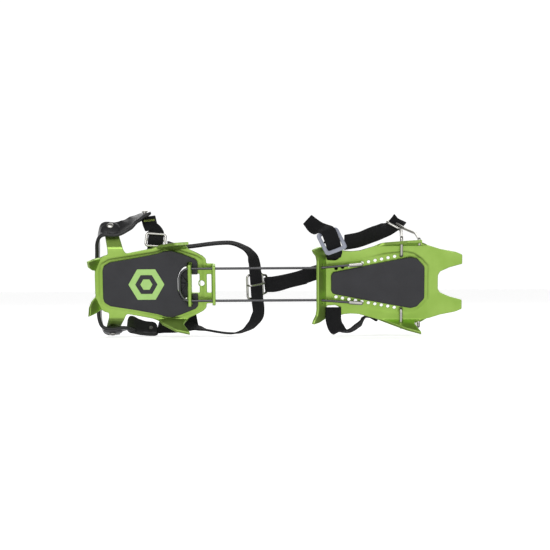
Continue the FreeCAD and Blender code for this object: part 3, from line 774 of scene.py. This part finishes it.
def tube(shell, path, radius, closed=False, sides=14):
    """A round wire along a path, with rounded ends where it is open."""
    count = len(path)
    headings = []
    for i in range(count):
        before = path[i - 1] if closed or i else path[i]
        after = path[(i + 1) % count] if closed or i < count - 1 else path[i]
        headings.append((after - before).normalized())
    normal = headings[0].orthogonal().normalized()

    def ring(centre, across, up, size):
        return [
            centre + (across * math.cos(a) + up * math.sin(a)) * size
            for a in (2 * math.pi * j / sides for j in range(sides))
        ]

    frames = []
    for heading in headings:
        normal = (normal - heading * normal.dot(heading)).normalized()
        frames.append((normal, heading.cross(normal)))
    rings = [ring(p, *f, radius) for p, f in zip(path, frames)]
    if not closed:
        for turn in (math.radians(a) for a in (25, 50, 75)):
            bulge, size = radius * END_BULGE * math.sin(turn), radius * math.cos(turn)
            rings.insert(0, ring(path[0] - headings[0] * bulge, *frames[0], size))
            rings.append(ring(path[-1] + headings[-1] * bulge, *frames[-1], size))
        shell.grid(rings)
        return
    places = [p for r in rings for p in r]
    faces = []
    first, last = frames[0], frames[-1]
    twist = math.atan2(last[0].dot(first[1]), last[0].dot(first[0]))
    shift = round(twist / (2 * math.pi) * sides)
    for i in range(count):
        following = (i + 1) % count
        offset = shift if following == 0 else 0
        for j in range(sides):
            k = (j + 1) % sides
            faces.append([
                i * sides + j, i * sides + k,
                following * sides + (k + offset) % sides, following * sides + (j + offset) % sides,
            ])
    shell.add(places, faces)


BAIL_RADIUS = 1.65


def make_toe_bail(name, side):
    """A stainless bail wire: tail, up the boot's side, across and down again to a hook."""
    tail_x = HOLE_ROW[0] + (HOLE_COUNT - 1) * HOLE_PITCH
    tail_y = HOLE_ROW[1] + (tail_x - HOLE_ROW[0]) * HOLE_SLANT
    points = [
        (tail_x, tail_y, -0.6), (tail_x, tail_y, -6.6), (tail_x, 46.5, -6.6), (127.8, 46.0, 30.0),
        (128.0, 44.2, 43.0), (113.5, 50.5, 52.0), (119.0, 50.5, 60.0), (132.0, 45.5, 42.0),
        (141.5, 45.0, 22.0), (143.5, 45.0, -7.6), (143.5, 39.4, -8.0),
    ]
    shell = Shell()
    path = rounded_path([(x, side * y, z) for x, y, z in points], 4.5)
    tube(shell, path, BAIL_RADIUS, sides=16)
    shell.piece("toe_bail_wire_" + name, "bright_steel", "front", ["toe_bail_" + name])


def lathe(shell, centre, axis, profile, sides=28):
    """A turned solid: profile is height along the axis and radius, from one end to the other."""
    axis = Vector(axis).normalized()
    across = axis.orthogonal().normalized()
    up = axis.cross(across)
    rings = []
    for height, radius in profile:
        rings.append([
            Vector(centre) + axis * height + (across * math.cos(a) + up * math.sin(a)) * radius
            for a in (2 * math.pi * j / sides for j in range(sides))
        ])
    shell.grid(rings)


def rivet_profile(length, radius, head, rise):
    """A plain shank with a domed head on the outer end and a flat tail on the inner one."""
    half = length / 2
    turns = [math.radians(d) for d in (0, 18, 36, 54, 70, 84)]
    dome = [(half + rise * math.sin(a), head * math.cos(a)) for a in turns]
    shank = [(-half, 0.2), (-half, radius), (half - 0.3, radius), (half - 0.3, head * 0.94)]
    return shank + dome + [(half + rise, 0.05)]


# ------------------------------------------------------------------------------ webbing

WIDTH, TOE_WIDTH, THICK = 15.0, 15.8, 1.6
STITCH_OUT = THICK / 2 + 0.15


class Ribbon:
    """A strap's smooth centreline through stations, each a place and the way its width lies."""

    def __init__(self, stations, step=1.4):
        places = [Vector(p) for p, _ in stations]
        sides = [Vector(a).normalized() for _, a in stations]
        self.places, self.sides, self.lengths = [], [], [0.0]
        for i in range(len(places) - 1):
            p = [places[max(i - 1, 0)], places[i], places[i + 1], places[min(i + 2, len(places) - 1)]]
            parts = max(2, math.ceil((p[2] - p[1]).length / step))
            for k in range(parts + (i == len(places) - 2)):
                f = k / parts
                self.places.append(self.through(p, f))
                self.sides.append(sides[i].lerp(sides[i + 1], f * f * (3 - 2 * f)).normalized())
        self.frames = []
        for i, side in enumerate(self.sides):
            ahead = self.places[min(i + 1, len(self.places) - 1)] - self.places[max(i - 1, 0)]
            ahead.normalize()
            side = (side - ahead * side.dot(ahead)).normalized()
            self.frames.append((ahead, side, ahead.cross(side)))
            if i:
                self.lengths.append(self.lengths[-1] + (self.places[i] - self.places[i - 1]).length)

    @staticmethod
    def through(p, f):
        """A point of the curve between p[1] and p[2], with tangents limited by the run."""
        run = (p[2] - p[1]).length
        a = (p[2] - p[0]).normalized() * run
        b = (p[3] - p[1]).normalized() * run
        h = f * f * (3 - 2 * f)
        return p[1] * (1 - h) + p[2] * h + a * (f * (1 - f) ** 2) + b * (-f * f * (1 - f))

    @property
    def length(self):
        return self.lengths[-1]

    def at(self, along, across, out):
        """A place on the strap, in millimetres along, across and out of its face."""
        i = min(max(int(np.searchsorted(self.lengths, along)), 1), len(self.lengths) - 1)
        f = (along - self.lengths[i - 1]) / (self.lengths[i] - self.lengths[i - 1])
        f = min(1.0, max(0.0, f))
        _, side, rise = self.frames[i]
        return self.places[i - 1].lerp(self.places[i], f) + side * across + rise * out


def strap_profile(width, thick):
    """A flat strap's section: rounded selvedges and a face that is a little crowned."""
    half, r, crown = width / 2 - thick / 2, thick / 2, 0.12
    points = [(half * x, r * (1 + crown * (1 - x * x))) for x in (-1, -0.66, -0.33, 0, 0.33, 0.66, 1)]
    turns = [math.radians(d) for d in (40, 90, 140)]
    points += [(half + r * math.sin(a), r * math.cos(a)) for a in turns]
    points += [(half * x, -r * (1 + crown * (1 - x * x))) for x in (1, 0.66, 0.33, 0, -0.33, -0.66, -1)]
    return points + [(-half - r * math.sin(a), -r * math.cos(a)) for a in turns]


def sweep(shell, ribbon, profile, size):
    """Skin a ribbon with a section; size gives the width's and thickness's scale on the way."""
    rings, weave = [], []
    for place, (ahead, side, rise), along in zip(ribbon.places, ribbon.frames, ribbon.lengths):
        wide, deep = size(along, ribbon.length)
        rings.append([place + side * (x * wide) + rise * (y * deep) for x, y in profile])
        weave.append([(along, x, y) for x, y in profile])
    shell.grid(rings, weave)


def cut_end(along, length):
    """A heat-sealed end: the last millimetre is a little thinner."""
    near = min(along, length - along)
    f = min(1.0, near / 0.9)
    return 0.985 + 0.015 * f, 0.62 + 0.38 * f


def make_strap(name, ribbon, body, stands_for=(), width=WIDTH, thick=THICK):
    shell = Shell()
    sweep(shell, ribbon, strap_profile(width, thick), cut_end)
    return shell.piece(name, "black_webbing", body, stands_for)


THREAD_RADIUS = 0.28


def stitch_line(shell, ribbon, start, end, out, pitch=2.6):
    """A run of stitches on a strap from one (along, across) to another."""
    start, end = Vector(start), Vector(end)
    count = max(1, round((end - start).length / pitch))
    for i in range(count):
        ends = [start.lerp(end, (i + f) / count) for f in (0.12, 0.88)]
        a, b = [ribbon.at(p.x, p.y, out) for p in ends]
        tube(shell, [a, a.lerp(b, 0.33), a.lerp(b, 0.67), b], THREAD_RADIUS, sides=6)


class Fitting:
    """A flat fitting's own axes: across its webbing, up along it, and out of its face."""

    def __init__(self, centre, across, up):
        self.centre = Vector(centre)
        self.across = Vector(across).normalized()
        up = Vector(up)
        self.up = (up - self.across * up.dot(self.across)).normalized()
        self.out = self.across.cross(self.up)

    def place(self, across, up, out=0.0):
        return self.centre + self.across * across + self.up * up + self.out * out


HEEL_BUCKLE = Fitting((-119.5, -41.5, 12.5), (1.0, 0.08, 0.0), (-0.25, -0.8, 0.55))
TOE_BUCKLE = Fitting((56.5, -43.2, -6.4), (16.0, -4.5, 7.0), (-9.5, -16.6, 10.0))


EDGE_ON = (0, 0, 1)
ankle = Ribbon([
    ((-107.5, -39.5, 9.5), (0.1, 0.1, 0.97)),
    ((-100.0, -36.5, 10.0), EDGE_ON),
    ((-90.0, -34.8, 11.0), EDGE_ON),
    ((-65.0, -37.4, 12.0), EDGE_ON),
    ((-53.0, -38.4, 12.0), EDGE_ON),
    ((-43.0, -38.1, 12.0), (0.1, 0, 1)),
    ((-33.0, -34.4, 12.0), (0.2, 0, 1)),
    ((-25.5, -28.7, 12.0), (0.4, 0, 0.9)),
    ((-21.5, -20.6, 12.0), (0.7, 0, 0.7)),
    ((-20.0, -11.0, 12.0), (0.77, 0, 0.64)),
    ((-17.8, 22.0, 12.0), (0.77, 0, 0.64)),
    ((-16.8, 31.0, 12.0), (0.77, 0, 0.64)),
    ((-18.2, 38.0, 12.0), (0.85, 0.1, 0.5)),
    ((-24.0, 46.8, 12.0), (0.6, 0.3, 0.7)),
    ((-34.0, 53.6, 12.0), (0.2, 0.3, 0.9)),
    ((-46.0, 55.4, 12.0), (0, 0.2, 0.98)),
    ((-69.0, 51.8, 11.5), (0, 0.2, 0.98)),
    ((-78.0, 49.8, 12.5), (0, -0.05, 1)),
    ((-88.0, 48.8, 15.0), (0, -0.4, 0.92)),
    ((-103.0, 49.6, 19.5), (0, -0.75, 0.66)),
    ((-118.5, 51.9, 27.0), (0, -0.68, 0.73)),
])


def make_ankle_strap():
    runs = ["ankle_strap_right", "ankle_strap_front", "ankle_strap_left"]
    strap = make_strap("ankle_webbing", ankle, None, runs)
    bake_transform(strap)


def make_heel_strap():
    ribbon = Ribbon([
        ((-128.0, -61.2, 34.0), (1, 0, 0.1)),
        ((-125.5, -54.0, 26.0), (1, 0.1, 0.1)),
        ((-123.3, -50.0, 20.5), (1, 0.2, 0)),
    ])
    make_strap("heel_webbing", ribbon, "cradle", ["heel_strap_right"])
    buckle = HEEL_BUCKLE
    through = Ribbon([
        (Vector((-123.6, -51.5, 22.3)), Vector((1, 0.15, 0))),
        (buckle.place(0, 8.6, -2.6), buckle.across),
        (buckle.place(0, 3.6, -1.0), buckle.across),
        (buckle.place(0, 0.0, 2.0), buckle.across),
        (buckle.place(0, -4.0, 1.0), buckle.across),
        (buckle.place(0, -8.6, -2.4), buckle.across),
        (buckle.place(0, -10.4, -4.6), buckle.across),
    ])
    make_strap("heel_buckle_webbing", through, "heel_buckle", width=WIDTH + 0.6)
    seams = Shell()
    for along in (5.0, 6.4):
        for out in (STITCH_OUT, -STITCH_OUT):
            stitch_line(seams, ribbon, (along, -5.8), (along, 5.8), out, 1.9)
    seams.piece("heel_webbing_stitches", "black_webbing", "cradle", material=GREEN_THREAD)


def make_toe_straps():
    left = Ribbon([
        ((58.3, 24.8, -4.4), (1, 0, 0)),
        ((58.3, 30.7, -4.6), (1, 0, 0)),
        ((58.6, 39.0, -4.4), (1, 0.05, 0)),
        ((62.0, 47.6, -1.5), (0.9, -0.4, 0.1)),
        ((69.5, 51.2, 3.0), (-0.1, -0.3, -0.9)),
        ((79.0, 50.0, 9.0), (-0.25, -0.42, -0.87)),
        ((87.0, 45.6, 14.5), (-0.25, -0.35, -0.9)),
        ((92.5, 40.8, 22.0), (0.3, -0.35, -0.9)),
        ((101.0, 42.0, 36.0), (0.7, -0.6, -0.4)),
        ((108.5, 46.0, 43.0), (0.5, -0.8, -0.2)),
    ])
    right = Ribbon([
        ((111.0, -43.8, 43.6), (0.6, 0.75, -0.3)),
        ((120.3, -45.6, 52.8), (0.8, 0.35, -0.5)),
        ((126.2, -50.6, 56.8), (0.8, 0.35, -0.5)),
        ((127.4, -52.0, 55.4), (0.8, 0.35, -0.5)),
        ((125.8, -50.8, 53.6), (0.8, 0.35, -0.5)),
        ((120.6, -46.6, 49.9), (0.8, 0.35, -0.5)),
        ((109.0, -44.0, 39.0), (0.6, 0.75, -0.3)),
        ((96.0, -42.2, 25.0), (0.25, 0.96, -0.1)),
        ((84.0, -40.4, 13.0), (0.1, 0.99, 0)),
        ((69.5, -40.2, 1.9), (0.1, 0.99, 0.1)),
    ])
    for name, ribbon in (("left", left), ("right", right)):
        make_strap("toe_webbing_" + name, ribbon, "front", ["toe_strap_" + name], TOE_WIDTH)


def make_heel_flap():
    """The ankle strap's spare end, folded back behind the left point and tacked with green thread."""
    flap = Ribbon([
        ((-120.0, 53.6, 30.0), (0, -0.60, 0.80)),
        ((-108.0, 50.2, 24.5), (0.1, -0.80, 0.60)),
        ((-94.0, 46.4, 24.0), (0.25, -0.85, 0.50)),
        ((-79.5, 43.4, 24.5), (0.45, -0.80, 0.40)),
    ])
    make_strap("ankle_webbing_flap", flap, "cradle")
    seams = Shell()
    for out in (STITCH_OUT, -STITCH_OUT):
        stitch_line(seams, flap, (2.6, -6.5), (4.4, 3.0), out, 2.2)
    seams.piece("ankle_flap_stitches", "black_webbing", "cradle", material=GREEN_THREAD)


def make_instep_strap():
    """A webbing folded round the slide's ear, so that it runs to the toe in two plies."""
    ear = (-6.9, 6.8, 22.0)
    across = (0.1, 1, 0)
    ribbon = Ribbon([
        ((30.0, -3.2, 9.8), (0.35, 1, 0)),
        ((12.0, 2.6, 16.8), (0.3, 1, 0)),
        ((-1.0, 6.8, 24.2), across),
        ((ear[0] - 1.6, ear[1] + 0.6, ear[2] + 2.4), across),
        ((ear[0] - 3.2, ear[1] + 0.8, ear[2] - 0.2), across),
        ((ear[0] - 0.9, ear[1] + 0.4, ear[2] - 2.6), across),
        ((-0.2, 6.6, 18.4), across),
        ((13.0, 1.4, 12.2), (0.3, 1, 0)),
        ((25.0, -2.7, 7.9), (0.35, 1, 0)),
        ((39.0, -8.4, 3.9), (0.35, 1, 0)),
        ((55.0, -13.0, 1.6), (0.2, 1, 0)),
        ((72.0, -14.5, 1.2), (0.0, 1, 0)),
    ], step=0.9)
    strap = make_strap("instep_webbing", ribbon, None, ["instep_strap"], thick=1.4)
    seams = Shell()
    for short_of_end in (76.0, 74.6, 64.0, 62.6):
        along = ribbon.length - short_of_end
        stitch_line(seams, ribbon, (along, -5.6), (along, 5.6), 0.85, 1.9)
    thread_piece = seams.piece("instep_webbing_stitches", "black_webbing", material=BLACK_THREAD)
    for made in (strap, thread_piece):
        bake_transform(made)


# ---------------------------------------------------------------------------- heel cradle


PIVOT_UP_POST, BUSH_FLANGE, HALF_WALL = 22.5, 1.2, 1.5
PAD_X = -164.6
PAD_RADIUS = 9.8
PAD_RISE = 2.2


def band_profile(half, wall, bead):
    """A thin wall between a round bead on one rim and a small one on the other."""
    turns = [math.radians(a) for a in range(-140, 141, 28)]
    profile = [(-half + bead - bead * math.cos(a), bead * math.sin(a) + bead - wall) for a in turns]
    profile += [(x * half, wall) for x in (-0.2, 0.3, 0.65)]
    turns = [math.radians(a) for a in (15, 55, 90, 125, 165)]
    profile += [(half - 1.3 + 1.3 * math.sin(a), 1.3 * math.cos(a) + 1.3 - wall) for a in turns]
    return profile + [(x * half, -wall) for x in (0.65, 0.3, -0.2)]


def rounded_ends(along, length):
    near = min(along, length - along)
    f = min(1.0, near / 5.0)
    return 0.5 + 0.5 * math.sqrt(1 - (1 - f) ** 2), 0.7 + 0.3 * f


def make_cradle():
    """The moulded band round the boot's heel, with a round pad on each post and a left wing."""
    lean = math.radians(POST_LEAN)
    clear = SHEET / 2 + BUSH_FLANGE + HALF_WALL
    y = POST_Y + PIVOT_UP_POST * math.cos(lean) + clear * math.sin(lean)
    z = -SHEET / 2 + PIVOT_UP_POST * math.sin(lean) - clear * math.cos(lean)
    up_post = (0, math.cos(lean), math.sin(lean))
    rear = [
        ((-172.0, y, z), up_post),
        ((-177.0, 43.0, 18.5), (0, 0.35, 0.94)),
        ((-178.0, 30.0, 22.0), (0, 0, 1)),
        ((-178.5, 12.0, 22.5), (0, 0, 1)),
    ]
    mirrored = [((px, -py, pz), (0, -ay, az)) for (px, py, pz), (_, ay, az) in reversed(rear)]
    round_heel = Ribbon([
        ((-145.0, 50.4, 21.0), (0, -0.35, 0.94)),
        ((-150.0, 52.0, 18.6), (0, 0.20, 0.98)),
        ((-157.0, y, z), up_post),
        *rear,
        *mirrored,
        ((-160.0, -y, z), (0, -up_post[1], up_post[2])),
        ((-150.0, -55.0, 18.5), (0, -0.45, 0.89)),
        ((-142.0, -59.4, 24.5), (0, -0.25, 0.97)),
        ((-134.0, -62.6, 30.0), (0, -0.05, 1)),
        ((-126.5, -64.6, 34.0), (0, 0.1, 0.99)),
    ])
    left_wing = Ribbon([
        ((-150.4, 46.6, 19.4), (0.35, -0.80, 0.48)),
        ((-146.5, 47.8, 21.0), (0.20, -0.82, 0.53)),
        ((-140.0, 51.0, 24.0), (0.05, -0.70, 0.70)),
        ((-132.0, 53.8, 27.3), (0, -0.60, 0.80)),
        ((-125.0, 54.9, 29.6), (0, -0.58, 0.82)),
        ((-120.3, 55.2, 31.0), (0, -0.58, 0.82)),
    ], step=1.0)
    shell = Shell()
    sweep(shell, round_heel, band_profile(10.0, 1.1, 1.9), rounded_ends)
    sweep(shell, left_wing, band_profile(9.2, 1.1, 1.5), rounded_ends)
    for side in SIDES.values():
        outward = Vector((0, side * math.sin(lean), -math.cos(lean)))
        turns = [math.radians(12 * k) for k in range(8)]
        dome = [(0.9 + PAD_RISE * math.sin(a), PAD_RADIUS * math.cos(a)) for a in turns]
        lathe(shell, (PAD_X, side * y, z), outward, [(-1.0, PAD_RADIUS - 0.6), *dome])
    shell.piece("cradle_band", "black_band", "cradle", ["heel_cradle"])


LEFT_WING_RIVET = Vector((-127.0, 54.5, 29.2))
RIVET_AXES = {
    "cradle_rivet_left": (0, 0.819, -0.574),
    "cradle_rivet_right": (0, -0.819, -0.574),
    "strap_rivet_left": (0, 0.82, 0.58),
    "strap_rivet_right": (-0.15, -1, 0),
}


def make_rivets():
    for node, axis in RIVET_AXES.items():
        low, high = local_box(node)
        axis = Vector(axis).normalized()
        spread = 3.6 * math.sqrt(1 - axis.y**2)
        length = max(3.0, (high.y - low.y - 2 * spread) / abs(axis.y) - 1.4)
        shell = Shell()
        centre = (low + high) / 2 - axis * 0.7
        if node == "strap_rivet_left":
            centre, length = LEFT_WING_RIVET, 4.0
        lathe(shell, centre, axis, rivet_profile(length, 1.95, 3.4, 1.2))
        shell.piece(node + "_head", "bright_steel", "heel" if "cradle" in node else "cradle", [node])


def make_toe_buckle():
    half, tall, rim = 12.2, 12.6, 3.9
    shell = Shell()
    corners = [(half, -tall), (half, tall), (-half, tall), (-half, -tall)]
    inner = [(x * (half - rim) / half, y * (tall - rim) / tall) for x, y in corners]
    slab(shell, softened(corners, 4.5, 8), [softened(inner, 2.2, 6)], 2.6, 1.1, 1.6, TOE_BUCKLE.place)
    shell.piece("toe_buckle_ring", "grey_buckle", "toe_buckle", ["toe_buckle_frame"])
    tail = Ribbon([
        (TOE_BUCKLE.place(0, -8.0, -2.6), TOE_BUCKLE.across),
        (TOE_BUCKLE.place(0, -3.2, 0.4), TOE_BUCKLE.across),
        (TOE_BUCKLE.place(0, 1.5, 2.5), TOE_BUCKLE.across),
        (TOE_BUCKLE.place(0, 11.5, 2.9), TOE_BUCKLE.across),
        ((41.5, -54.2, 8.0), (10.5, -9.2, 4.5)),
        ((32.5, -62.3, 10.0), (9.0, -5.9, 10.4)),
    ])
    make_strap("toe_webbing_tail", tail, "toe_buckle", ["toe_strap_tail"], TOE_WIDTH)
    anchor = Ribbon([
        ((58.0, -22.0, 1.2), (1, 0, 0)),
        ((58.4, -26.0, -2.6), (1, 0, 0)),
        ((59.8, -31.0, -7.0), (1, -0.1, 0.2)),
        (TOE_BUCKLE.place(0, -10.0, -3.4), TOE_BUCKLE.across),
        (TOE_BUCKLE.place(0, -5.5, -3.6), TOE_BUCKLE.across),
    ])
    make_strap("toe_webbing_anchor", anchor, "front", ["toe_buckle_anchor"], thick=1.3)


# ------------------------------------------------------------------------------ the stage

EYE_HEIGHT = 0.062
FIELD = 0.55
DISTANCE = 2.0
PLATE_DEPTH = -0.02
SENSOR = 36.0
ROLL = math.radians(0.35)


def make_camera():
    data = bpy.data.cameras.new("camera")
    data.sensor_width = SENSOR
    data.lens = SENSOR * DISTANCE / FIELD
    data.clip_end = 50
    camera = bpy.data.objects.new("camera", data)
    camera.location = (0, PLATE_DEPTH - DISTANCE, EYE_HEIGHT)
    camera.rotation_euler = (math.pi / 2, ROLL, 0)
    bpy.context.scene.collection.objects.link(camera)
    bpy.context.scene.camera = camera


def make_floor():
    mesh = bpy.data.meshes.new("floor")
    side = 6.0
    corners = [(-side, -side, 0), (side, -side, 0), (side, side, 0), (-side, side, 0)]
    mesh.from_pydata(corners, [], [[0, 1, 2, 3]])
    r = Recipe("floor")
    r.set(Base_Color=(0.93, 0.93, 0.93, 1), Roughness=0.9)
    r.set(Emission_Color=(1, 1, 1, 1), Emission_Strength=0.55)
    mesh.materials.append(r.material)
    floor = bpy.data.objects.new("floor", mesh)
    bpy.context.scene.collection.objects.link(floor)
    floor.visible_glossy = False


def add_light(name, place, aim, size, power):
    data = bpy.data.lights.new(name, "AREA")
    data.shape = "RECTANGLE"
    data.size, data.size_y = size
    data.energy = power
    light = bpy.data.objects.new(name, data)
    light.location = place
    light.rotation_euler = (Vector(aim) - Vector(place)).to_track_quat("-Z", "Y").to_euler()
    bpy.context.scene.collection.objects.link(light)


def make_light():
    """A white sweep behind, a soft overhead box in front and grey surroundings for the metal."""
    world = bpy.data.worlds.new("studio")
    bpy.context.scene.world = world
    r = Recipe("studio", world)
    direction = r.node("TexCoord").outputs["Generated"]
    behind = r.range(r.node("SeparateXYZ", {0: direction}).outputs[1], -1.0, 1.0, 0.0, 1.0)
    stops = ((0.0, 0.86), (0.20, 0.72), (0.42, 0.16), (0.62, 0.12), (0.84, 0.5), (0.95, 1.06))
    r.set(Color=r.ramp(behind, [(position, grey(value)) for position, value in stops]), Strength=1.0)
    aim = (0, 0, 0.05)
    add_light("key", (-0.5, -1.3, 1.7), aim, (1.5, 0.9), 9)
    add_light("fill", (1.3, -1.6, 0.6), aim, (0.8, 1.2), 2)
    add_light("back", (0.2, 1.3, 1.3), aim, (1.6, 0.8), 5)
    bpy.context.scene.view_settings.view_transform = "Standard"


make_camera()
make_floor()
make_light()
for build in (make_heel_frame, make_heel_plate, make_badge, make_front_frame, make_front_plate):
    build()
for bail_name, bail_side in SIDES.items():
    make_toe_bail(bail_name, bail_side)
for build in (
    make_ankle_strap, make_heel_strap, make_heel_flap, make_toe_straps,
    make_instep_strap, make_cradle, make_rivets, make_toe_buckle,
):
    build()
